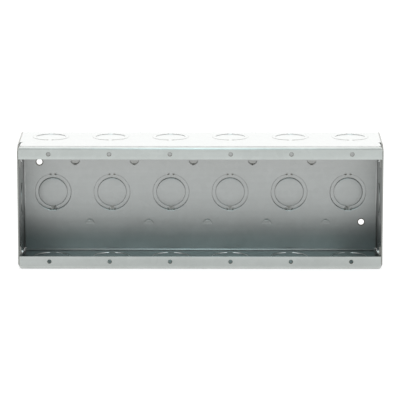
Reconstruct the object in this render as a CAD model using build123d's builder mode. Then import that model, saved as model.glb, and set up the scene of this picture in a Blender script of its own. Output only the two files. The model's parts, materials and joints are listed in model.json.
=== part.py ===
import os

from build123d import *

# Six-gang device box folded from one sheet of galvanised steel, in millimetres.
# X runs along the gangs, the open front faces -Y and the bottom wall lies on Z = 0.

# Box and sheet
gangs = 6
gang_pitch = 46.04
end_margin = 23.8  # centre line of the last gang to the outer face of the end wall
box_height = 95.25
box_depth = 63.5
sheet = 1.1
bend_inside = 1.3  # inner radius of the long folds
seam = 0.3  # open joint between the end walls and the folded channel

# Front flanges, with one tapped hole above and one below each gang
device_hole_spacing = 83.34
device_hole_diameter = 2.8
device_hole_edge = 4.045  # hole centre to the free edge of the flange
flange_inset = 1.0  # end of a flange to the outer face of the end wall behind it

# Ears folded from the top and bottom walls, spot-welded inside the end walls
ear_depth = 14.0
ear_reach = 17.0
ear_relief = 0.8  # gap between the front fold and the ear
corner_clear = 1.2  # sloping cut of the end walls' front corners, past the height of a fold
corner_run = 11.0  # where that cut ends, from the front

# Concentric knockouts, half sheared out of the sheet and left on ties
knockout_small = 22.2
knockout_large = 28.3
knockout_from_back = 22.2  # centres on the top, bottom and end walls
disc_shear = 0.5  # travel of the disc into the box
ring_shear = 0.3  # travel of the ring the other way
ring_tie_width = 3.4
disc_tie_width = 2.6
tie_run = 1.2  # length over which a tie slopes
tie_lap = 0.3  # how far it reaches past the shear line

# Pry-outs of the back wall, in pairs about the line between two gangs
pryout_diameter = 7.0
pryout_shift = 5.55
pryout_height = 25.6  # from mid-height
pryout_sink = 0.4  # travel of the free edge out of the box

# Mounting holes through the back wall, at opposite corners
mount_hole_diameter = 4.8
mount_hole_inset = 13.5  # from the outer face of the end wall
mount_hole_rise = 23.8  # from mid-height

# Sizes that follow
box_length = (gangs - 1) * gang_pitch + 2 * end_margin
bend_outside = bend_inside + sheet
inner_length = box_length - 2 * sheet
channel_length = inner_length - 2 * seam
flange_length = box_length - 2 * flange_inset
front = -box_depth / 2
back = box_depth / 2
mid_height = box_height / 2
flange_width = mid_height - device_hole_spacing / 2 + device_hole_edge
ear_front = front + bend_outside + ear_relief
ear_back = ear_front + ear_depth
end_front = front + sheet + seam
corner_cut = bend_outside + corner_clear
end_fold_clear = bend_outside + seam
gang_places = [(i - (gangs - 1) / 2) * gang_pitch for i in range(gangs)]
between_gangs = [(i - (gangs - 2) / 2) * gang_pitch for i in range(gangs - 1)]

# Inner faces of the walls, each with its normal pointing into the box
knockout_y = back - knockout_from_back
back_face = Plane((0, back - sheet, mid_height), x_dir=(1, 0, 0), z_dir=(0, -1, 0))
bottom_face = Plane((0, knockout_y, sheet), x_dir=(1, 0, 0), z_dir=(0, 0, 1))
top_face = Plane((0, knockout_y, box_height - sheet), x_dir=(1, 0, 0), z_dir=(0, 0, -1))
left_face = Plane((-inner_length / 2, knockout_y, mid_height), x_dir=(0, 1, 0), z_dir=(1, 0, 0))
right_face = Plane((inner_length / 2, knockout_y, mid_height), x_dir=(0, -1, 0), z_dir=(-1, 0, 0))


def punch(wall, spots, diameter, start, end, mode):
    """Round pads or pockets between two levels above a wall's inner face, along the wall's own X."""
    with BuildSketch(wall.offset(start)) as rounds:
        with Locations(*[(spot, 0) for spot in spots]):
            Circle(diameter / 2)
    extrude(rounds.sketch, amount=end - start, mode=mode)


def ties(places, width, top, foot, high, low):
    """Strips left across a shear line of the back wall, sloping from one level down to the other."""
    planes = [Plane((x, back - sheet, mid_height), (0, 0, side), (side, 0, 0)) for x, side in places]
    with BuildSketch(*planes) as section:
        with BuildLine():
            Polyline((top, high), (foot, low), (top, -sheet / 2), close=True)
        make_face()
    extrude(section.sketch, amount=width / 2, both=True)


# Pry-out: a half round of sheet, hinged along its straight side and bent out of the box
with BuildPart() as pryout:
    with BuildSketch(Plane.YZ):
        with BuildLine():
            Polyline(
                (0, 0),
                (pryout_diameter / 2, -pryout_sink),
                (pryout_diameter / 2, sheet / 2),
                (0, sheet / 2),
                close=True,
            )
        make_face()
    extrude(amount=pryout_diameter / 2, both=True)
    with BuildSketch(Plane.XY.offset(-pryout_sink)):
        Circle(pryout_diameter / 2)
    extrude(amount=sheet / 2 + pryout_sink, mode=Mode.INTERSECT)

# End walls, folded forward from the back wall between the reliefs at its corners
with BuildPart() as ends:
    with BuildSketch(Plane.XY.offset(end_fold_clear)):
        with BuildLine():
            FilletPolyline(
                (-box_length / 2, end_front),
                (-box_length / 2, back),
                (box_length / 2, back),
                (box_length / 2, end_front),
                radius=bend_outside,
            )
            offset(amount=sheet, side=Side.RIGHT)
        make_face()
    extrude(amount=box_height - 2 * end_fold_clear)
    with BuildSketch(Plane.XY):
        with Locations((0, (end_front + back - bend_outside) / 2)):
            Rectangle(box_length, back - bend_outside - end_front)
            Rectangle(inner_length, back - bend_outside - end_front, mode=Mode.SUBTRACT)
    extrude(amount=box_height)
    with BuildSketch(Plane.YZ):
        for edge, way in ((0, 1), (box_height, -1)):
            with BuildLine():
                Polyline(
                    (end_front, edge),
                    (front + corner_run, edge),
                    (end_front, edge + way * corner_cut),
                    close=True,
                )
            make_face()
    extrude(amount=box_length / 2, both=True, mode=Mode.SUBTRACT)

with BuildPart() as box:
    # Channel: back, top and bottom walls with the two in-turned front flanges
    with BuildSketch(Plane.YZ):
        with BuildLine():
            FilletPolyline(
                (front, flange_width),
                (front, 0),
                (back, 0),
                (back, box_height),
                (front, box_height),
                (front, box_height - flange_width),
                radius=bend_outside,
            )
            offset(amount=sheet, side=Side.LEFT)
        make_face()
    extrude(amount=flange_length / 2, both=True)

    # Top, bottom and back stop between the end walls; the flanges run on in front of them to rounded ends
    with BuildSketch(Plane.XY):
        with Locations((0, bend_outside / 2)):
            Rectangle(box_length, box_depth - bend_outside)
            Rectangle(channel_length, box_depth - bend_outside, mode=Mode.SUBTRACT)
    extrude(amount=box_height, mode=Mode.SUBTRACT)
    with BuildSketch(Plane.XZ.offset(-front)):
        with Locations((0, mid_height)):
            Rectangle(box_length, box_height)
            RectangleRounded(flange_length, box_height, bend_outside, mode=Mode.SUBTRACT)
    extrude(amount=-bend_outside, mode=Mode.SUBTRACT)

    # Ears at the four front corners, each rounded over its fold
    with BuildSketch(Plane.XZ.offset(-ear_front)):
        with Locations((0, mid_height)):
            Rectangle(box_length, box_height)
            RectangleRounded(inner_length, box_height, bend_outside, mode=Mode.SUBTRACT)
    extrude(amount=-ear_depth, mode=Mode.SUBTRACT)
    with BuildSketch(Plane.XZ.offset(-ear_front)):
        with Locations((0, mid_height)):
            RectangleRounded(inner_length, box_height, bend_outside)
            Rectangle(inner_length - 2 * sheet, box_height - 2 * sheet, mode=Mode.SUBTRACT)
            Rectangle(inner_length, box_height - 2 * ear_reach, mode=Mode.SUBTRACT)
    extrude(amount=-ear_depth)
    add(ends.part)

    # Device holes
    with BuildSketch(Plane.XZ.offset(-front)):
        with Locations((0, mid_height)):
            with GridLocations(gang_pitch, device_hole_spacing, gangs, 2):
                Circle(device_hole_diameter / 2)
    extrude(amount=-sheet, mode=Mode.SUBTRACT)

    # Mounting holes, at opposite corners of the back wall
    with BuildSketch(back_face):
        with Locations(
            (mount_hole_inset - box_length / 2, mount_hole_rise),
            (box_length / 2 - mount_hole_inset, -mount_hole_rise),
        ):
            Circle(mount_hole_diameter / 2)
    extrude(amount=-sheet, mode=Mode.SUBTRACT)

    # Knockouts: discs part sheared into the box, proud inside and sunk outside; on the back wall, which shows
    # best through the open front, the rings are sheared the other way
    punch(back_face, gang_places, knockout_large, -ring_shear, disc_shear, Mode.SUBTRACT)
    for wall in (back_face, bottom_face):
        punch(wall, gang_places, knockout_small, -sheet / 2, disc_shear, Mode.ADD)
    for wall in (back_face, bottom_face, top_face):
        punch(wall, gang_places, knockout_small, -sheet - disc_shear, disc_shear - sheet, Mode.SUBTRACT)
    for wall in (left_face, right_face):
        punch(wall, [0], knockout_small, -sheet - disc_shear, disc_shear - sheet, Mode.SUBTRACT)

    # Ties on the back wall: two from the wall to each ring and one from the ring to its disc
    ring_edge, disc_edge = knockout_large / 2, knockout_small / 2
    ring_ties = [(place, side) for place in gang_places for side in (1, -1)]
    ties(ring_ties, ring_tie_width, ring_edge + tie_lap, ring_edge - tie_run, 0, -ring_shear)
    disc_ties = [(place, -1) for place in gang_places]
    ties(disc_ties, disc_tie_width, disc_edge - tie_lap, disc_edge + tie_run, disc_shear, -ring_shear)

    # Pry-outs above and below mid-height, with their free edges towards it
    with Locations(back_face):
        for side in (1, -1):
            with Locations(*[(line - side * pryout_shift, side * pryout_height) for line in between_gangs]):
                add(pryout.part, rotation=(0, 0, 90 + 90 * side), mode=Mode.SUBTRACT)

os.makedirs("parts", exist_ok=True)
box.part.label = "box"
export_step(box.part, "parts/box.step")
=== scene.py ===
import json
import math

import bmesh
import bpy
from mathutils import Matrix, Vector


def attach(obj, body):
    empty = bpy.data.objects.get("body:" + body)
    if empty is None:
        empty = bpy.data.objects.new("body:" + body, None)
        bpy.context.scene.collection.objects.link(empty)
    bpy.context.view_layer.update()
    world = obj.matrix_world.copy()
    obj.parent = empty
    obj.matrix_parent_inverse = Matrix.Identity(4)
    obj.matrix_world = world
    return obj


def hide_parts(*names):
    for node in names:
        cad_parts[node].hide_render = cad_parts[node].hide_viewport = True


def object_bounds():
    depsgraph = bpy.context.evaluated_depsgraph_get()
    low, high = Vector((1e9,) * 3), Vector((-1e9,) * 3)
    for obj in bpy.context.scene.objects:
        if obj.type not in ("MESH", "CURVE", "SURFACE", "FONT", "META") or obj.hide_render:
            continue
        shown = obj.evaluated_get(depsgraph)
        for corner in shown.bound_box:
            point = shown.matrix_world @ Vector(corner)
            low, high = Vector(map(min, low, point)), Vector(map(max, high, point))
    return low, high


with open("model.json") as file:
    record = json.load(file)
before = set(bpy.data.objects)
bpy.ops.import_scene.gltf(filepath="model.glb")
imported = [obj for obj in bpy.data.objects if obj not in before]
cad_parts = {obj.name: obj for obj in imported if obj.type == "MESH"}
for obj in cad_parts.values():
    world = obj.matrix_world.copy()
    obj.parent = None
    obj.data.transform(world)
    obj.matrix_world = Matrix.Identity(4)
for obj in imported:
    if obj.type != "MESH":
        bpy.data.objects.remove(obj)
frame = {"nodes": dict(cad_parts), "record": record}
cadLow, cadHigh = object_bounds()
mm = 0.001
length, depth, height = (cadHigh - cadLow) / mm
print("frame loaded:", ", ".join(sorted(frame["nodes"])))


# Folded sheet, in millimetres
sheet = {
    "thick": 1.1,
    "bendInside": 1.3,
    "bendSteps": 10,
    "seam": 0.02,  # open joint between the end walls and the channel
    "relief": 0.25,  # slots between the fold of an end wall and those above and below it
    "flange": 10.0,
    "flangeInset": 1.0,  # end of a flange to the outer face of the end wall behind it
    "earDepth": 14.0,
    "earReach": 17.0,
    "earSetBack": 0.8,  # from the front fold to the ear
    "earGap": 0.05,  # between an ear and its end wall
    "slit": 0.5,  # relief cut at each side of an ear's fold
    "cornerClear": 1.2,  # sloping cut of the end walls' front corners, past the height of a fold
    "cornerRun": 11.0,  # where that cut ends, from the front
    "edgeRound": 0.12,
    "edgeSteps": 2,
    "edgeAngle": 60.0,  # edges sharper than this are rounded
    "creaseAngle": 35.0,  # and those sharper than this are shaded as creases
    "bareEdge": 0.45,  # how much of the zinc the sheared edges have lost
    "upperEdge": 0.0,  # the same for the upper flange's free edge, none, so only the lower one's edge is darkened, partly as painted shade
    "frontShine": (0.16, 0.5),  # painted highlight: how much lighter the front folds are painted, and an exponent that moves the place
    "rearShine": (0.8, 5.0),  # the same painted highlight for the rear folds, lifting the shade along them
    "earShine": (0.7, 0.6),  # and for those of the ears, lifting the dark shade in them
    "weld": (0.001, 0.002),  # points nearer than this are joined, in the sheet and round the stampings
}
thick = sheet["thick"]
bendOutside = sheet["bendInside"] + thick
front, back, mid = -depth / 2, depth / 2, height / 2
innerHalf = length / 2 - thick
channelHalf = innerHalf - sheet["seam"]
flangeHalf = length / 2 - sheet["flangeInset"]
endFront = front + thick + sheet["seam"]
earFront = front + bendOutside + sheet["earSetBack"]
earBack = earFront + sheet["earDepth"]
earPlane = innerHalf - sheet["earGap"] - thick
earHalf = innerHalf - sheet["earGap"] - bendOutside  # where the folds of the ears begin

# Concentric knockouts
knockout = {
    "ring": 14.0,
    "disc": 11.3,
    "fromBack": 22.2,
    "roll": 0.6,  # width of the rolled edge above each sheared face
    "rollMiddle": (0.5, 0.3),  # a point on it, as shares of its width and depth
    "shallow": (0.3, 0.6),  # how far the ring is pressed at its top, and the disc at its bottom, by its tie
    "groove": 0.06,
    "ringTie": 3.4,
    "tieSide": 0.4,  # width over which a tie's sides slope
    "tieSlope": 0.9,  # half the length over which it slopes
    "tieReach": 1.0,  # half the width of the band that it crosses
    "nickRadius": 0.65,
    "nickAside": 0.2,  # from the side of a tie to the middle of its nick
    "wedgeHalf": (1.7, 0.6),  # half width of the cut under the disc, at the disc and at the ring
    "wedgeSide": (0.3, 0.2),  # how far its sides slope, inwards and outwards
    "wedgeLap": 0.3,  # how far it runs past the two circles
    "apron": 1.6,  # flat margin round the ring
    "steps": 72,
    "fineSteps": 4,  # steps that are halved at each side of a tie
    "innerCircles": (0.55, 0.2),  # circles of the mesh inside the disc, as shares of its radius
    "depthSpread": 0.1,
    "seed": 4,
}
# for each side of the sheet: the levels of the ring's two edges and of the disc, the depth of the rolled
# edges, the lean of the sheared faces, the zinc lost at the ring and at the disc (below zero, a painted
# sheen that makes them lighter), the depth of the cut under the disc and of the nicks; the cuts of both
# sides together stay under the thickness of the sheet
knockoutFaces = {
    "ringIn": {
        "levels": (-0.3, -0.35, 0.45),
        "rolls": (0.2, 0.2),
        "lean": 0.1,
        "bare": (0.25, 0.25),
        "wedge": 0.45,
        "nick": 0.3,
    },
    "ringFloor": {
        "levels": (-0.5, -0.45, 0.4),
        "rolls": (0.03, 0.2),
        "lean": 0.2,
        # far lighter ring faces on the floor: a painted highlight along its arcs
        "bare": (-4.2, 0.0),
        "wedge": 0.2,
        "nick": 0.1,
    },
    "ringOut": {
        "levels": (0.2, 0.15, -0.2),
        "rolls": (0.15, 0.1),
        "lean": 0.1,
        "bare": (0.7, -0.2),
        "wedge": -0.1,
        "nick": 0.15,
    },
}
knockoutY = back - knockout["fromBack"]
knockoutRim = knockout["ring"] + knockout["apron"]

# Pry-outs between the gangs
pryout = {
    "radius": 3.5,
    "shift": 5.55,
    "fromMid": 25.6,
    "lineHalf": 0.28,
    "lineEnds": (-0.6, 0.4),  # where the line round the free half fades in, from the hinge
    "stepHalf": 0.1,  # half the width of the step at that line
    "hinge": 1.5,  # length over which a pry-out bends
    "tabShadeFrom": 0.2,  # where its painted shade begins
    "slotHalf": (0.9, 0.55),  # of the screwdriver slot at the free edge
    "slotEnds": (0.95, 0.6),  # where the slot fades in, from the line
    "slotShade": 2.0,  # painted shade in the slot, for its depth
    "apron": 1.0,
    "steps": 48,
    "lineCircles": (2, 1, 0.5, 0, -0.5, -1, -2),  # circles of the mesh about the line, in its half widths
    "flatFrom": 0.9,  # next circle, from the line
    "innerCircles": (0.55, 0.3, 0.1),  # and the others, as shares of the radius
    "depthSpread": 0.15,
    "seed": 9,
}
# level of the free edge, depth of the line round it, painted shade on the tab and depth of the slot
pryoutFaces = {
    "pryUpper": {"level": -0.2, "cut": 0.12, "tabShade": 0.22, "slotDepth": 0.2},
    "pryLower": {"level": -0.05, "cut": 0.05, "tabShade": 0.08, "slotDepth": 0.12},
    "pryOut": {"level": 0.1, "cut": 0.05, "tabShade": 0.0, "slotDepth": 0.0},
}
pryoutRim = pryout["radius"] + pryout["apron"]

# Clinched buttons that hold the ears
button = {
    "radius": 2.05,
    "top": 1.8,
    "fromWall": 11.5,
    "fromFront": 4.6,  # from the front edge of the ear
    "low": 0.5,  # share of the rise at the side towards the fold
    "square": 4,  # exponent of the rounded square, where 2 would be a circle
    "apron": 0.9,
    "plain": 0.3,  # margin that isn't given the painted highlight
    "steps": 32,
    "depthSpread": 0.05,
    "seed": 2,
}
# profiles of the boss and of the pocket behind it: points of the foot, from the radius and the sheet, and
# points of the crown, from the top's radius and the rise
boss = {
    "rise": 1.8,
    "foot": ((0.25, 0.0), (0.0, 0.12), (-0.12, 0.5)),
    "crown": ((0.1, -0.25), (-0.1, -0.05), (-0.5, 0.0), (-1.2, -0.04)),
}
pocket = {
    "rise": -0.85,
    "foot": ((0.25, -0.02), (0.0, -0.12), (-0.25, -0.45)),
    "crown": ((-0.15, 0.0), (-0.5, -0.05), (-1.2, 0.0)),
}
# how much lighter a button is painted: a painted highlight, on the lower buttons only
buttonFaces = {
    "buttonUpper": {"shape": boss, "paintedSheen": 0.0},
    "buttonLower": {"shape": boss, "paintedSheen": 0.8},
    "buttonOut": {"shape": pocket, "paintedSheen": 0.0},
}
buttonRim = button["radius"] + button["apron"]

# Mounting holes and tapped device holes, each with a rim on both faces painted in the bare steel colour of
# the bore, as painted shade round the hole
wallHole = {
    "radius": 2.3,
    "inset": 13.5,
    "fromMid": 23.8,
    "rim": 0.7,
    "rimDepth": 0.03,
    "bare": 1.0,
    "steps": 28,
    "rows": 6,
}
deviceHole = {
    "radius": 1.4,
    "threadDepth": 0.3,
    "threadPitch": 0.794,
    "rim": 0.25,
    "rimDepth": 0.03,
    "bare": 1.0,
    "steps": 28,
    "rows": 16,
}
wallRim = wallHole["radius"] + wallHole["rim"]
deviceRim = deviceHole["radius"] + deviceHole["rim"]

deviceMounts = [m for m in frame["record"]["mounts"] if m["name"].startswith("device_screws")]
gangPlaces = sorted(m["pos_m"][0] / mm for m in deviceMounts)
deviceSpacing = deviceMounts[0]["dims"]["spacing_y_mm"]
betweenGangs = [(a + b) / 2 for a, b in zip(gangPlaces, gangPlaces[1:])]


def wallFrame(origin, across, up):
    # takes (across, up, height) to the box, height pointing into it from the wall's inner face
    across, up = Vector(across), Vector(up)
    turned = Matrix((across, up, across.cross(up))).transposed().to_4x4()
    return Matrix.Translation(origin) @ turned


walls = {
    "back": wallFrame((0, back - thick, mid), (1, 0, 0), (0, 0, 1)),
    "front": wallFrame((0, front + thick, mid), (-1, 0, 0), (0, 0, 1)),
    "bottom": wallFrame((0, knockoutY, thick), (1, 0, 0), (0, 1, 0)),
    "top": wallFrame((0, knockoutY, height - thick), (1, 0, 0), (0, -1, 0)),
    "left": wallFrame((-innerHalf, knockoutY, mid), (0, 1, 0), (0, 0, 1)),
    "right": wallFrame((innerHalf, knockoutY, mid), (0, -1, 0), (0, 0, 1)),
    "leftEar": wallFrame((-earPlane, knockoutY, mid), (0, 1, 0), (0, 0, 1)),
    "rightEar": wallFrame((earPlane, knockoutY, mid), (0, -1, 0), (0, 0, 1)),
}


def evenAngles(count):
    return [2 * math.pi * i / count for i in range(count)]


def tieAngles(count, fine):
    # even steps, halved near the top and bottom of the round, where the ties are
    step = 2 * math.pi / count
    extra = [side * math.pi / 2 + (i + 0.5) * step for side in (1, 3) for i in range(-fine, fine)]
    return sorted(evenAngles(count) + extra)


knockoutAngles = tieAngles(knockout["steps"], knockout["fineSteps"])
pryoutAngles = evenAngles(pryout["steps"])
buttonAngles = evenAngles(button["steps"])
wallAngles = evenAngles(wallHole["steps"])
deviceAngles = evenAngles(deviceHole["steps"])

# Rounds left open in the walls, and the places of the press that fills each of them
rounds = []
pressNames = [*knockoutFaces, *pryoutFaces, *buttonFaces, "deviceBore", "wallBore"]
spots = {name: [] for name in pressNames}


def stamp(wall, across, up, radius, angles, inside=None, outside=None, bore=None, turn=0):
    opened = {"wall": wall, "middle": (across, up), "radius": radius, "angles": angles}
    opened["inside"] = bool(inside or bore)
    opened["outside"] = bool(outside or bore)
    rounds.append(opened)
    spin = Matrix.Rotation(turn, 4, "Z")
    over = Matrix.Rotation(math.pi, 4, "Y")
    facing = walls[wall] @ Matrix.Translation((across, up, 0)) @ spin
    behind = walls[wall] @ Matrix.Translation((across, up, -thick)) @ over @ spin
    for name, place in ((inside, facing), (outside, behind), (bore, facing)):
        if name:
            spots[name].append(place)


for wall, places, inside, turn in (
    ("back", gangPlaces, "ringIn", 0),
    ("bottom", gangPlaces, "ringFloor", math.pi),
    ("top", gangPlaces, "ringIn", math.pi),
    ("left", [0], "ringIn", 0),
    ("right", [0], "ringIn", 0),
):
    for place in places:
        stamp(wall, place, 0, knockoutRim, knockoutAngles, inside, "ringOut", turn=turn)

for side, row, turn in ((1, "Upper", math.pi), (-1, "Lower", 0)):
    for line in betweenGangs:
        across, up = line - side * pryout["shift"], side * pryout["fromMid"]
        stamp("back", across, up, pryoutRim, pryoutAngles, "pry" + row, "pryOut", turn=turn)
    across, up = side * (wallHole["inset"] - length / 2), side * wallHole["fromMid"]
    stamp("back", across, up, wallRim, wallAngles, bore="wallBore")
    for place in gangPlaces:
        stamp("front", -place, side * deviceSpacing / 2, deviceRim, deviceAngles, bore="deviceBore")
    earAcross = earFront + button["fromFront"] - knockoutY
    up = side * (mid - button["fromWall"])
    for end, across in (("left", earAcross), ("right", -earAcross)):
        stamp(end + "Ear", across, up, buttonRim, buttonAngles, inside="button" + row, turn=turn)
        stamp(end, across, up, buttonRim, buttonAngles, outside="buttonOut", turn=turn)


def bareAndSheenLayer(bm):
    # how far a face takes the bare steel colour: sheared edges and fractures show bare steel, and some
    # edges, rims and slots use it as painted shade; below zero, a painted sheen that lightens the zinc
    return bm.faces.layers.float.get("bare") or bm.faces.layers.float.new("bare")


def loopEdges(bm, corners):
    return [bm.edges.new((a, b)) for a, b in zip(corners, corners[1:] + corners[:1])]


def inOutline(u, v, outline):
    across = [p[0] for p in outline]
    up = [p[1] for p in outline]
    return min(across) < u < max(across) and min(up) < v < max(up)


def panel(bm, wall, outline, bent, bare=sheet["bareEdge"]):
    # both faces of one flat part of the sheet with its rounds left open, and its free edges
    area = sum(a[0] * b[1] - b[0] * a[1] for a, b in zip(outline, outline[1:] + outline[:1]))
    if area < 0:
        outline = outline[::-1]
    sides = []
    for side, level, way in (("inside", 0, 1), ("outside", -thick, -1)):
        corners = [bm.verts.new(walls[wall] @ Vector((u, v, level))) for u, v in outline]
        edges = loopEdges(bm, corners)
        for opened in rounds:
            u, v = opened["middle"]
            if opened["wall"] == wall and opened[side] and inOutline(u, v, outline):
                r, angles = opened["radius"], opened["angles"]
                rim = [(u + r * math.cos(a), v + r * math.sin(a), level) for a in angles]
                edges += loopEdges(bm, [bm.verts.new(walls[wall] @ Vector(p)) for p in rim])
        outward = walls[wall].to_3x3() @ Vector((0, 0, way))
        filled = bmesh.ops.triangle_fill(bm, use_beauty=True, edges=edges, normal=outward)
        for face in filled["geom"]:
            if isinstance(face, bmesh.types.BMFace):
                face.normal_update()
                if face.normal.dot(outward) < 0:
                    face.normal_flip()
        sides.append(corners)
    inner, outer = sides
    for i, start in enumerate(outline):
        j = (i + 1) % len(outline)
        if {start, outline[j]} not in bent:
            bm.faces.new((inner[i], outer[i], outer[j], inner[j]))[bareAndSheenLayer(bm)] = bare


def fold(bm, start, end, first, last, paintedSheen=(0, 1), rounding=0):
    # quarter-round bend along an axis, from one outward direction to the other, its ends rounded off
    start, end, first, last = (Vector(p) for p in (start, end, first, last))
    inward = (end - start).normalized() * rounding
    rows = []
    for i in range(sheet["bendSteps"] + 1):
        angle = math.pi / 2 * i / sheet["bendSteps"]
        spoke = first * math.cos(angle) + last * math.sin(angle)
        trim = inward * (1 - math.cos(angle))
        axes = (start + trim, end - trim)
        corners = [axis + spoke * r for axis in axes for r in (sheet["bendInside"], bendOutside)]
        rows.append([bm.verts.new(p) for p in corners])
    turnsLeft = first.cross(last).dot(end - start) > 0
    for step, (a, b) in enumerate(zip(rows, rows[1:])):
        # painted highlight along the fold, stored as a negative bare value
        shine = paintedSheen[0] * math.sin(math.pi * ((step + 0.5) / sheet["bendSteps"]) ** paintedSheen[1])
        faces = ((a[0], a[2], b[2], b[0]), (a[3], a[1], b[1], b[3]))
        ends = ((a[1], a[0], b[0], b[1]), (a[2], a[3], b[3], b[2]))
        for quad in faces + ends:
            bare = -shine if quad in faces else sheet["bareEdge"]
            bm.faces.new(quad if turnsLeft else quad[::-1])[bareAndSheenLayer(bm)] = bare


def foldedSheet():
    bm = bmesh.new()
    bareAndSheenLayer(bm)
    foldHalf = length / 2 - bendOutside  # where the folds of the end walls begin
    wallHalf = mid - bendOutside
    slotHalf = wallHalf - sheet["relief"]
    endHalf = slotHalf - sheet["relief"]
    slotEnd = foldHalf - sheet["relief"]
    frontLine = front + bendOutside - knockoutY
    backLine = back - bendOutside - knockoutY
    flangeEnd = flangeHalf - bendOutside  # where the rounded end of a flange meets its wall
    slit = sheet["slit"]
    earStart, earEnd = earFront - knockoutY, earBack - knockoutY

    # back wall, with its tabs to the end walls
    right = [(channelHalf, -wallHalf), (channelHalf, -slotHalf), (slotEnd, -slotHalf)]
    right += [(slotEnd, -endHalf), (foldHalf, -endHalf)]
    right += [(u, -v) for u, v in right[::-1]]
    outline = right + [(-u, v) for u, v in right[::-1]]
    bent = [{(s * channelHalf, t * wallHalf) for s in (1, -1)} for t in (1, -1)]
    bent += [{(s * foldHalf, t * endHalf) for t in (1, -1)} for s in (1, -1)]
    panel(bm, "back", outline, bent)

    # top and bottom walls, notched for the folds of the ears
    for wall, way in (("bottom", 1), ("top", -1)):
        right = [
            (flangeEnd, way * frontLine),
            (earHalf, way * (earStart - slit)),
            (earHalf, way * earStart),
            (earHalf, way * earEnd),
            (earHalf, way * (earEnd + slit)),
            (channelHalf, way * (earEnd + slit)),
            (channelHalf, way * backLine),
        ]
        bent = [{(s * flangeEnd, way * frontLine) for s in (1, -1)}]
        bent += [{(s * channelHalf, way * backLine) for s in (1, -1)}]
        bent += [{(s * earHalf, way * line) for line in (earStart, earEnd)} for s in (1, -1)]
        panel(bm, wall, right + [(-u, v) for u, v in right[::-1]], bent)

    # flanges and ears above and below
    # the lower flange's free edge is darkened in the bare steel colour, partly as painted shade along it
    for way, bare in ((1, sheet["upperEdge"]), (-1, sheet["bareEdge"])):
        edge = way * (mid - sheet["flange"])
        outline = [(-flangeHalf, way * wallHalf), (flangeHalf, way * wallHalf)]
        outline += [(flangeHalf, edge), (-flangeHalf, edge)]
        panel(bm, "front", outline, [set(outline[:2])], bare)
        reach = way * (mid - sheet["earReach"])
        for ear, hand in (("leftEar", 1), ("rightEar", -1)):
            outline = [(hand * earStart, way * wallHalf), (hand * earEnd, way * wallHalf)]
            outline += [(hand * earEnd, reach), (hand * earStart, reach)]
            panel(bm, ear, outline, [set(outline[:2])])

    # end walls, with their front corners cut back
    cornerHalf = wallHalf - sheet["cornerClear"]
    for end, hand in (("left", 1), ("right", -1)):
        frontEdge = hand * (endFront - knockoutY)
        cut = hand * (front + sheet["cornerRun"] - knockoutY)
        upper = [(frontEdge, cornerHalf), (cut, mid), (hand * backLine, mid), (hand * backLine, endHalf)]
        outline = upper + [(u, -v) for u, v in upper[::-1]]
        panel(bm, end, outline, [{(hand * backLine, endHalf), (hand * backLine, -endHalf)}])

    # folds
    frontAxis, backAxis = front + bendOutside, back - bendOutside
    foldLines = ((bendOutside, (0, 0, -1)), (height - bendOutside, (0, 0, 1)))
    for z, last in foldLines:
        left, right = (-flangeHalf, frontAxis, z), (flangeHalf, frontAxis, z)
        fold(bm, left, right, (0, -1, 0), last, sheet["frontShine"], bendOutside)
        left, right = (-channelHalf, backAxis, z), (channelHalf, backAxis, z)
        fold(bm, left, right, (0, 1, 0), last, sheet["rearShine"])
    for hand in (1, -1):
        x = hand * foldHalf
        fold(bm, (x, backAxis, mid - endHalf), (x, backAxis, mid + endHalf), (hand, 0, 0), (0, 1, 0))
        for z, last in foldLines:
            x = hand * earHalf
            fold(bm, (x, earFront, z), (x, earBack, z), (hand, 0, 0), last, sheet["earShine"])

    bmesh.ops.remove_doubles(bm, verts=bm.verts, dist=sheet["weld"][0])
    blank = scaledObject("foldedSheet", bm)
    bpy.context.scene.collection.objects.link(blank)
    edges = blank.modifiers.new("edges", "BEVEL")
    edges.width = sheet["edgeRound"] * mm
    edges.segments = sheet["edgeSteps"]
    edges.limit_method = "ANGLE"
    edges.angle_limit = math.radians(sheet["edgeAngle"])
    return plainMesh(blank)


def scaledObject(name, bm):
    # what was worked out in millimetres, as an object in metres
    bm.transform(Matrix.Scale(mm, 4))
    mesh = bpy.data.meshes.new(name)
    bm.to_mesh(mesh)
    bm.free()
    return bpy.data.objects.new(name, mesh)


def plainMesh(thing):
    # the evaluated object as a mesh of its own, with the object removed
    evaluated = thing.evaluated_get(bpy.context.evaluated_depsgraph_get())
    mesh = bpy.data.meshes.new_from_object(evaluated)
    bpy.data.objects.remove(thing)
    return mesh


def blend(a, b, share):
    return a + (b - a) * share


def clamp(x):
    return min(1, max(0, x))


def ease(x, start, end):
    t = clamp((x - start) / (end - start))
    return t * t * (3 - 2 * t)


def along(profile, r):
    # height of a turned profile at one radius, from the rim to the centre
    for (ra, ha), (rb, hb) in zip(profile, profile[1:]):
        if ra >= r >= rb:
            return blend(ha, hb, (ra - r) / (ra - rb))
    return profile[-1][1]


def pressMesh(name, radii, angles, heightAt, bareAndSheenAt, reach=lambda r, a: r):
    # a round patch of the sheet's surface, its height and its bare steel colour, painted shade or painted
    # sheen worked out at each place
    bm = bmesh.new()
    bare = bareAndSheenLayer(bm)
    rings = []
    for r in radii:
        spokes = [(reach(r, a) * math.cos(a), reach(r, a) * math.sin(a)) for a in angles]
        rings.append([bm.verts.new((x, y, heightAt(r, x, y))) for x, y in spokes])
    rings.append([bm.verts.new((0, 0, heightAt(0, 0, 0)))] * len(angles))
    for outer, inner in zip(rings, rings[1:]):
        for i in range(len(angles)):
            j = (i + 1) % len(angles)
            corners = list(dict.fromkeys((outer[i], outer[j], inner[j], inner[i])))
            face = bm.faces.new(corners)
            x, y, z = face.calc_center_median()
            face[bare] = bareAndSheenAt(math.hypot(x, y), x, y)
    return scaledObject(name, bm)


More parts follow.
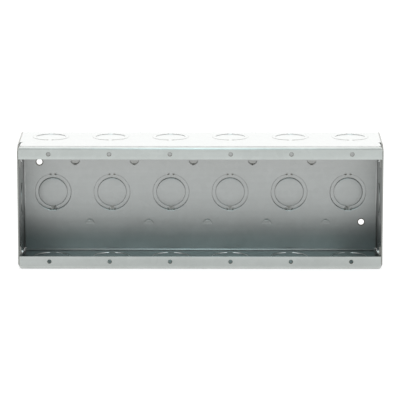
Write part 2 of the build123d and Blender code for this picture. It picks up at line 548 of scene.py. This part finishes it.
def stepProfile(r, outer, inner, rollDepth, lean):
    # a step at one radius, from its outer side to its inner one: a rolled edge above a steep sheared face
    roll, groove = knockout["roll"], knockout["groove"]
    across, down = knockout["rollMiddle"]
    rolled = [(roll, 0), (roll * across, rollDepth * down), (lean, rollDepth)]
    foot = [(0, groove), (lean, groove / 2), (roll, 0)]
    if outer > inner:
        return [(r + d, outer - h) for d, h in rolled] + [(r - d, inner - h) for d, h in foot]
    return [(r + d, outer - h) for d, h in foot[::-1]] + [(r - d, inner - h) for d, h in rolled[::-1]]


def knockoutPress(name, levels, rolls, lean, bare, wedge, nick):
    ring, disc = knockout["ring"], knockout["disc"]
    rim, lip, top = levels
    ringShallow, discShallow = knockout["shallow"]
    profile = [(knockoutRim, 0)]
    profile += stepProfile(ring, 0, rim, rolls[0], lean)
    profile += stepProfile(disc, lip, top, rolls[1], lean)
    profile += [(disc * share, top) for share in knockout["innerCircles"]]
    tieHalf = knockout["ringTie"] / 2

    def pressed(r, y):
        # the ring and the disc tilt in their planes, each held by its tie
        if r > (ring + disc) / 2:
            return blend(1, ringShallow, clamp((ring + y) / (2 * ring)))
        return blend(1, discShallow, clamp((disc - y) / (2 * disc)))

    def ringTie(r, x, y):
        near = abs(r - ring) < knockout["tieReach"] and abs(y) > disc
        return 1 - ease(abs(x), tieHalf - knockout["tieSide"], tieHalf) if near else 0

    def nicked(r, x, y):
        # two short nicks beside each tie of the ring
        aside = abs(x) - tieHalf - knockout["nickAside"]
        away = math.hypot(aside, r - ring) / knockout["nickRadius"]
        return math.exp(-away * away) if abs(y) > disc else 0

    def wedged(r, x, y):
        # wedge cut through the lower part of the ring, under the disc
        lap = knockout["wedgeLap"]
        if y > 0 or not disc - lap < r < ring + lap:
            return 0
        half = blend(*knockout["wedgeHalf"], ease(r, disc, ring))
        inwards, outwards = knockout["wedgeSide"]
        return 1 - ease(abs(x), half - inwards, half + outwards)

    def heightAt(r, x, y):
        tied = rim * ease(r, ring + knockout["tieSlope"], ring - knockout["tieSlope"])
        h = blend(along(profile, r), tied, ringTie(r, x, y)) * pressed(r, y)
        h = blend(h, min(rim, top) - wedge, wedged(r, x, y))
        return h - nick * nicked(r, x, y)

    def bareAndSheenAt(r, x, y):
        cut = max(nicked(r, x, y), wedge * wedged(r, x, y))
        if abs(r - ring) < lean:
            return blend(bare[0] * (1 - ringTie(r, x, y)) * pressed(r, y), 1, cut)
        return blend(bare[1] * pressed(r, y) if abs(r - disc) < lean else 0, 1, cut)

    return pressMesh(name, [r for r, h in profile], knockoutAngles, heightAt, bareAndSheenAt)


def pryoutPress(name, level, cut, tabShade, slotDepth):
    # the half towards +Y is cut round and bent out of the wall, with a screwdriver slot at its free edge
    radius, lineHalf, hinge = pryout["radius"], pryout["lineHalf"], pryout["hinge"]
    radii = [pryoutRim]
    radii += [radius + share * lineHalf for share in pryout["lineCircles"]]
    radii += [radius - pryout["flatFrom"]]
    radii += [radius * share for share in pryout["innerCircles"]]
    wide, tall = pryout["slotHalf"]
    slotFrom, slotTo = pryout["slotEnds"]

    def slot(r, x, y):
        dent = math.exp(-((x / wide) ** 2) - ((y - radius) / tall) ** 2)
        return dent * ease(r, radius + slotFrom, radius + slotTo)

    def line(r, y):
        return math.exp(-(((r - radius) / lineHalf) ** 2)) * ease(y, *pryout["lineEnds"])

    def heightAt(r, x, y):
        free = ease(r, radius + pryout["stepHalf"], radius - pryout["stepHalf"])
        bent = level * ease(y, 0, hinge) * free
        return bent - cut * line(r, y) - slotDepth * slot(r, x, y)

    def bareAndSheenAt(r, x, y):
        # painted shade on the bent tab, stronger on the upper row, and in the slot; the line round it is
        # bare steel
        tab = tabShade * ease(y, pryout["tabShadeFrom"], hinge) * (r < radius)
        return min(1, tab + cut * line(r, y) + slot(r, x, y) * slotDepth * pryout["slotShade"])

    return pressMesh(name, radii, pryoutAngles, heightAt, bareAndSheenAt)


def buttonPress(name, shape, paintedSheen):
    # a rounded square on the ear or behind it, lower towards the fold
    base, top, square = button["radius"], button["top"], button["square"]
    profile = [(buttonRim, 0)]
    profile += [(base + d, h) for d, h in shape["foot"]]
    profile += [(top + d, shape["rise"] + h) for d, h in shape["crown"]]

    def heightAt(r, x, y):
        return along(profile, r) * blend(1, button["low"], ease(y, base, -base))

    def bareAndSheenAt(r, x, y):
        # painted highlight on the button
        return -paintedSheen if r < buttonRim - button["plain"] else 0

    def reach(r, a):
        if r == buttonRim:
            return r
        return r * (math.cos(a) ** square + math.sin(a) ** square) ** (-1 / square)

    return pressMesh(name, [r for r, h in profile], buttonAngles, heightAt, bareAndSheenAt, reach)


def borePress(name, hole, angles, radiusAt):
    # wall of a through hole, from the inner face to the outer one
    bm = bmesh.new()
    bare = bareAndSheenLayer(bm)
    rim, rimDepth, rows = hole["radius"] + hole["rim"], hole["rimDepth"], hole["rows"]
    inside = [blend(rimDepth, thick - rimDepth, i / rows) for i in range(rows + 1)]
    rings = []
    for depthIn in [0] + inside + [thick]:
        radii = [rim if depthIn in (0, thick) else radiusAt(-depthIn, a) for a in angles]
        spokes = zip(radii, angles)
        rings.append([bm.verts.new((r * math.cos(a), r * math.sin(a), -depthIn)) for r, a in spokes])
    for upper, lower in zip(rings, rings[1:]):
        for i in range(len(angles)):
            j = (i + 1) % len(angles)
            # the bore takes the bare steel colour, and on the rim it is painted shade
            bm.faces.new((upper[i], upper[j], lower[j], lower[i]))[bare] = hole["bare"]
    return scaledObject(name, bm)


def plainRadius(z, angle):
    return wallHole["radius"]


def threadRadius(z, angle):
    turn = (z / deviceHole["threadPitch"] + angle / (2 * math.pi)) % 1
    return deviceHole["radius"] + deviceHole["threadDepth"] * abs(2 * turn - 1)


def stampTree():
    # puts one press at every spot, turned to its wall, each pressed to a slightly different depth
    tree = bpy.data.node_groups.new("stampAtSpots", "GeometryNodeTree")
    for name, kind in (
        ("Geometry", "NodeSocketGeometry"),
        ("Press", "NodeSocketObject"),
        ("Depth Spread", "NodeSocketFloat"),
        ("Seed", "NodeSocketInt"),
        ("Finish", "NodeSocketMaterial"),
    ):
        tree.interface.new_socket(name, in_out="INPUT", socket_type=kind)
    tree.interface.new_socket("Geometry", in_out="OUTPUT", socket_type="NodeSocketGeometry")

    def node(kind, **settings):
        made = tree.nodes.new(kind)
        for key, value in settings.items():
            setattr(made, key, value)
        return made

    given = node("NodeGroupInput")
    press = node("GeometryNodeObjectInfo")
    turn = node("GeometryNodeInputNamedAttribute", data_type="FLOAT_VECTOR")
    turn.inputs["Name"].default_value = "turn"
    toRotation = node("FunctionNodeEulerToRotation")
    most = node("ShaderNodeMath", operation="ADD")
    least = node("ShaderNodeMath", operation="SUBTRACT")
    depthOf = node("FunctionNodeRandomValue", data_type="FLOAT")
    scale = node("ShaderNodeCombineXYZ")
    place = node("GeometryNodeInstanceOnPoints")
    realize = node("GeometryNodeRealizeInstances")
    finish = node("GeometryNodeSetMaterial")
    result = node("NodeGroupOutput")
    for socket in (most.inputs[0], least.inputs[0], scale.inputs["X"], scale.inputs["Y"]):
        socket.default_value = 1.0
    low = next(s for s in depthOf.inputs if s.name == "Min" and s.type == "VALUE")
    high = next(s for s in depthOf.inputs if s.name == "Max" and s.type == "VALUE")
    drawn = next(s for s in depthOf.outputs if s.type == "VALUE")
    vector = next(s for s in turn.outputs if s.type == "VECTOR")
    for start, end in (
        (given.outputs["Press"], press.inputs["Object"]),
        (vector, toRotation.inputs["Euler"]),
        (given.outputs["Depth Spread"], most.inputs[1]),
        (given.outputs["Depth Spread"], least.inputs[1]),
        (least.outputs[0], low),
        (most.outputs[0], high),
        (given.outputs["Seed"], depthOf.inputs["Seed"]),
        (drawn, scale.inputs["Z"]),
        (given.outputs["Geometry"], place.inputs["Points"]),
        (press.outputs["Geometry"], place.inputs["Instance"]),
        (toRotation.outputs["Rotation"], place.inputs["Rotation"]),
        (scale.outputs["Vector"], place.inputs["Scale"]),
        (place.outputs["Instances"], realize.inputs["Geometry"]),
        (realize.outputs["Geometry"], finish.inputs["Geometry"]),
        (given.outputs["Finish"], finish.inputs["Material"]),
        (finish.outputs["Geometry"], result.inputs["Geometry"]),
    ):
        tree.links.new(start, end)
    return tree


def stampAll(tree, press, places, finish, spread, seed):
    points = bpy.data.meshes.new(press.name + "Spots")
    points.from_pydata([place.translation * mm for place in places], [], [])
    turns = points.attributes.new("turn", "FLOAT_VECTOR", "POINT")
    for entry, place in zip(turns.data, places):
        entry.vector = place.to_euler()
    row = bpy.data.objects.new(press.name + "Spots", points)
    bpy.context.scene.collection.objects.link(row)
    stamps = row.modifiers.new("stamps", "NODES")
    stamps.node_group = tree
    values = {"Press": press, "Depth Spread": spread, "Seed": seed, "Finish": finish}
    for socket in tree.interface.items_tree:
        if socket.in_out == "INPUT" and socket.name in values:
            stamps[socket.identifier] = values[socket.name]
    mesh = plainMesh(row)
    bpy.data.objects.remove(press)
    return mesh


# Zinc coating
zinc = {
    "colour": (0.43, 0.438, 0.431, 1),
    "dull": (0.368, 0.376, 0.369, 1),
    "toneSpan": (0.3, 0.7),  # where the mottle is wholly dull and wholly bright
    "roughness": (0.30, 0.42),
    "spangle": 240.0,
    "cloud": 40.0,
    "cloudDetail": 4.0,
    "cloudShare": 0.75,  # of the clouds, over the spangle
    "streak": (12.0, 260.0, 260.0),  # rolling marks along the gangs
    "streakShare": 0.35,
    "grain": 900.0,
    "bump": 0.04,
    "bumpHeight": 0.0002,
    "frontSheen": (0.12, 0.09),  # painted sheen: how much lighter the front is painted, and its flanges' free edges as a painted highlight
    "sheenTint": (0.98, 1.0, 0.985, 1),
    "sheenDepth": 2.0,
    "sheenWidth": 3.5,
    "paintedShade": (0.48, 0.25),  # painted shade: how much darker the floor of the box and its lower corners are painted
    "shadeLow": (2.0, 1.3),  # where the floor's painted shade begins and is full, in thicknesses of the sheet
    "shadeFront": 0.45,  # share of the floor's painted shade that lies towards the front
    "shadeDeep": (0.0, 12.0),  # where it thickens to the whole, from mid-depth
    "shadeAcross": (95.0, 132.0),  # where the corners' painted shade begins and is full, from the middle
    "shadeHigh": (45.0, 12.0),  # and above the floor
    "bareColour": (0.17, 0.155, 0.125, 1),
    "bareRoughness": 0.55,
}


def galvanisedSteel():
    steel = bpy.data.materials.new("galvanisedSteel")
    steel.use_nodes = True
    nodes, links = steel.node_tree.nodes, steel.node_tree.links
    shader = nodes["Principled BSDF"]
    shader.inputs["Metallic"].default_value = 1.0
    where = nodes.new("ShaderNodeTexCoord").outputs["Object"]
    split = nodes.new("ShaderNodeSeparateXYZ")
    links.new(where, split.inputs[0])
    across, deep, high = (split.outputs[axis] for axis in "XYZ")

    def feed(socket, value):
        # a number or a colour is set, and an output is linked
        if isinstance(value, bpy.types.NodeSocket):
            links.new(value, socket)
        else:
            socket.default_value = value

    def texture(kind, scale, place=where):
        made = nodes.new(kind)
        feed(made.inputs["Scale"], scale)
        feed(made.inputs["Vector"], place)
        return made

    def maths(operation, *values):
        made = nodes.new("ShaderNodeMath")
        made.operation = operation
        for socket, value in zip(made.inputs, values):
            feed(socket, value)
        return made.outputs[0]

    def mixed(share, first, second):
        made = nodes.new("ShaderNodeMix")
        made.data_type = "FLOAT"
        for i, value in ((0, share), (2, first), (3, second)):
            feed(made.inputs[i], value)
        return made.outputs[0]

    def mixedColour(share, first, second, way="MIX"):
        made = nodes.new("ShaderNodeMix")
        made.data_type = "RGBA"
        made.blend_type = way
        for i, value in ((0, share), (6, first), (7, second)):
            feed(made.inputs[i], value)
        return made.outputs[2]

    def ramp(value, start, end, low=0.0, high=1.0):
        # from one value to the other between two places, in millimetres
        made = nodes.new("ShaderNodeMapRange")
        made.interpolation_type = "SMOOTHSTEP"
        feed(made.inputs["Value"], value)
        for key, number in (("From Min", start * mm), ("From Max", end * mm)):
            feed(made.inputs[key], number)
        for key, number in (("To Min", low), ("To Max", high)):
            feed(made.inputs[key], number)
        return made.outputs["Result"]

    # mottled zinc: clouds and spangle, with the marks of rolling
    crystals = texture("ShaderNodeTexVoronoi", zinc["spangle"])
    clouds = texture("ShaderNodeTexNoise", zinc["cloud"])
    feed(clouds.inputs["Detail"], zinc["cloudDetail"])
    drawn = nodes.new("ShaderNodeMapping")
    feed(drawn.inputs["Scale"], zinc["streak"])
    feed(drawn.inputs["Vector"], where)
    streaks = texture("ShaderNodeTexNoise", 1.0, drawn.outputs["Vector"])
    cells = mixed(zinc["cloudShare"], crystals.outputs["Color"], clouds.outputs["Fac"])
    mottle = mixed(zinc["streakShare"], cells, streaks.outputs["Fac"])
    tone = nodes.new("ShaderNodeValToRGB")
    dull, bright = tone.color_ramp.elements
    dull.position, bright.position = zinc["toneSpan"]
    dull.color, bright.color = zinc["dull"], zinc["colour"]
    feed(tone.inputs["Fac"], mottle)

    # painted sheen at the front, with a painted highlight along the flanges' free edges
    atFront = ramp(deep, front + zinc["sheenDepth"], front)
    fromMid = maths("ABSOLUTE", maths("SUBTRACT", high, mid * mm))
    freeEdge = mid - sheet["flange"]
    atEdge = ramp(fromMid, freeEdge + zinc["sheenWidth"], freeEdge, 0.0, zinc["frontSheen"][1])
    frontSheen = maths("MULTIPLY_ADD", atFront, maths("ADD", atEdge, zinc["frontSheen"][0]), 1.0)

    # painted shade on the floor of the box, kept off the rear fold, and in its lower corners
    floorShade, cornerShade = zinc["paintedShade"]
    dustFrom, dustFull = zinc["shadeLow"]
    onFloor = ramp(high, dustFrom * thick, dustFull * thick, 0.0, floorShade)
    onFloor = maths("MULTIPLY", onFloor, ramp(deep, *zinc["shadeDeep"], zinc["shadeFront"], 1.0))
    offFold = ramp(deep, back - bendOutside, back - 2 * bendOutside)
    onFloor = maths("MULTIPLY", onFloor, offFold)
    toEnds = ramp(maths("ABSOLUTE", across), *zinc["shadeAcross"])
    inCorners = maths("MULTIPLY", toEnds, ramp(high, *zinc["shadeHigh"], 0.0, cornerShade))
    behindFlange = ramp(deep, front + bendOutside, front + 2 * bendOutside)
    paintedShade = maths("MULTIPLY", maths("ADD", onFloor, inCorners), behindFlange)

    # bare steel colour, also painting shade at some edges, rims and slots, or a painted sheen where the
    # attribute is below zero
    attribute = nodes.new("ShaderNodeAttribute")
    attribute.attribute_name = "bare"
    bare = attribute.outputs["Fac"]
    sheenScale = maths("SUBTRACT", frontSheen, maths("MINIMUM", bare, 0.0))
    lit = nodes.new("ShaderNodeVectorMath")
    lit.operation = "SCALE"
    feed(lit.inputs[0], tone.outputs["Color"])
    feed(lit.inputs["Scale"], maths("MULTIPLY", sheenScale, maths("SUBTRACT", 1.0, paintedShade)))
    # the painted sheen at the front is tinted as well
    tinted = mixedColour(atFront, lit.outputs["Vector"], zinc["sheenTint"], "MULTIPLY")
    feed(shader.inputs["Base Color"], mixedColour(bare, tinted, zinc["bareColour"]))

    gloss = nodes.new("ShaderNodeMapRange")
    feed(gloss.inputs["Value"], mottle)
    feed(gloss.inputs["To Min"], zinc["roughness"][0])
    feed(gloss.inputs["To Max"], zinc["roughness"][1])
    feed(shader.inputs["Roughness"], mixed(bare, gloss.outputs["Result"], zinc["bareRoughness"]))

    grain = texture("ShaderNodeTexNoise", zinc["grain"])
    bump = nodes.new("ShaderNodeBump")
    feed(bump.inputs["Strength"], zinc["bump"])
    feed(bump.inputs["Distance"], zinc["bumpHeight"])
    feed(bump.inputs["Height"], grain.outputs["Fac"])
    feed(shader.inputs["Normal"], bump.outputs["Normal"])
    return steel


def buildBox():
    steel = galvanisedSteel()
    tree = stampTree()
    presses = [(knockoutPress(name, **values), knockout) for name, values in knockoutFaces.items()]
    presses += [(pryoutPress(name, **values), pryout) for name, values in pryoutFaces.items()]
    presses += [(buttonPress(name, **values), button) for name, values in buttonFaces.items()]
    presses += [(borePress("deviceBore", deviceHole, deviceAngles, threadRadius), deviceHole)]
    presses += [(borePress("wallBore", wallHole, wallAngles, plainRadius), wallHole)]
    bm = bmesh.new()
    blank = foldedSheet()
    bm.from_mesh(blank)
    print("sheet folded:", len(blank.polygons), "faces")
    for press, values in presses:
        name = press.name
        spread, seed = values.get("depthSpread", 0.0), values.get("seed", 0)
        bm.from_mesh(stampAll(tree, press, spots[name], steel, spread, seed))
        print("stamped:", name, len(spots[name]), "times")
    bmesh.ops.remove_doubles(bm, verts=bm.verts, dist=sheet["weld"][1] * mm)
    squareOn = 0.99999  # faces that lie this near to an axis are shaded flat
    for face in bm.faces:
        face.material_index = 0
        face.smooth = max(abs(c) for c in face.normal) < squareOn
    for edge in bm.edges:
        edge.smooth = edge.calc_face_angle(0) < math.radians(sheet["creaseAngle"])
    print("open edges:", sum(edge.is_boundary for edge in bm.edges))
    mesh = bpy.data.meshes.new("deviceBox")
    bm.to_mesh(mesh)
    bm.free()
    mesh.materials.append(steel)
    box = bpy.data.objects.new("deviceBox", mesh)
    bpy.context.scene.collection.objects.link(box)
    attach(box, "root")
    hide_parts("box")
    print("box:", len(mesh.polygons), "faces")


buildBox()


# Floor, light and camera
studio = {
    "floorSize": 8.0,
    "floorWhite": 0.3,
    "floorRoughness": 0.9,
    "floorGlow": 0.76,
    "poolGlow": 0.17,  # painted pool of light: glow added to the floor in front of the box
    "poolFrom": -0.1,
    "poolTo": -0.26,
    "worldLight": 0.6,
}
lamps = {
    "top": {"power": 9.5, "place": (0, -0.1, 1.1), "size": (1.6, 1.6), "colour": (1, 1, 1)},
    "rear": {"power": 7.6, "place": (0, 1.3, 0.6), "size": (1.6, 1.0), "colour": (1, 1, 1)},
    "front": {"power": 5.2, "place": (0, -1.6, 1.0), "size": (0.55, 1.0), "colour": (0.62, 1.0, 1.06)},
}
shot = {
    "distance": 2.311,
    "pitch": 11.787,
    "yaw": 0.205,
    "lens": 273.75,
    "sensor": 36.0,
    "clip": (0.05, 50.0),
    "aim": (-0.00019, 0, 0.0064),  # from the middle of the open front
}


def floor(level):
    half = studio["floorSize"] / 2
    corners = [(-half, -half, level), (half, -half, level), (half, half, level), (-half, half, level)]
    mesh = bpy.data.meshes.new("floor")
    mesh.from_pydata(corners, [], [(0, 1, 2, 3)])
    ground = bpy.data.objects.new("floor", mesh)
    bpy.context.scene.collection.objects.link(ground)
    pale = bpy.data.materials.new("palePaper")
    pale.use_nodes = True
    nodes, links = pale.node_tree.nodes, pale.node_tree.links
    shader = nodes["Principled BSDF"]
    white = studio["floorWhite"]
    shader.inputs["Base Color"].default_value = (white, white, white, 1)
    shader.inputs["Roughness"].default_value = studio["floorRoughness"]
    shader.inputs["Emission Color"].default_value = (1, 1, 1, 1)
    where = nodes.new("ShaderNodeTexCoord")
    split = nodes.new("ShaderNodeSeparateXYZ")
    # the floor glows evenly, with a painted pool of light in front of the box
    glow = nodes.new("ShaderNodeMapRange")
    glow.interpolation_type = "SMOOTHSTEP"
    glow.inputs["From Min"].default_value = studio["poolFrom"]
    glow.inputs["From Max"].default_value = studio["poolTo"]
    glow.inputs["To Min"].default_value = studio["floorGlow"]
    glow.inputs["To Max"].default_value = studio["floorGlow"] + studio["poolGlow"]
    links.new(where.outputs["Object"], split.inputs[0])
    links.new(split.outputs["Y"], glow.inputs["Value"])
    links.new(glow.outputs["Result"], shader.inputs["Emission Strength"])
    mesh.materials.append(pale)


def softbox(name, power, place, size, colour):
    light = bpy.data.lights.new(name, "AREA")
    light.color = colour
    light.shape = "RECTANGLE"
    light.size, light.size_y = size
    light.energy = power
    lamp = bpy.data.objects.new(name, light)
    lamp.location = place
    aim = Vector((0, 0, mid * mm)) - lamp.location
    lamp.rotation_euler = aim.to_track_quat("-Z", "Y").to_euler()
    bpy.context.scene.collection.objects.link(lamp)


def camera():
    pitch, yaw = math.radians(shot["pitch"]), math.radians(shot["yaw"])
    level = math.cos(pitch)
    away = Vector((math.sin(yaw) * level, -math.cos(yaw) * level, math.sin(pitch)))
    middle = Vector((0, front * mm, mid * mm))
    lens = bpy.data.cameras.new("camera")
    lens.lens = shot["lens"]
    lens.sensor_width = shot["sensor"]
    lens.clip_start, lens.clip_end = shot["clip"]
    view = bpy.data.objects.new("camera", lens)
    view.location = middle + away * shot["distance"]
    aim = middle + Vector(shot["aim"])
    view.rotation_euler = (aim - view.location).to_track_quat("-Z", "Y").to_euler()
    bpy.context.scene.collection.objects.link(view)
    bpy.context.scene.camera = view


lookLow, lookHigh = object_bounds()
floor(lookLow[2])
for name, values in lamps.items():
    softbox(name, **values)
camera()

world = bpy.data.worlds.new("studio")
world.use_nodes = True
backdrop = world.node_tree.nodes["Background"]
backdrop.inputs["Color"].default_value = (1, 1, 1, 1)
backdrop.inputs["Strength"].default_value = studio["worldLight"]
bpy.context.scene.world = world
bpy.context.scene.view_settings.view_transform = "Standard"
print("studio set")
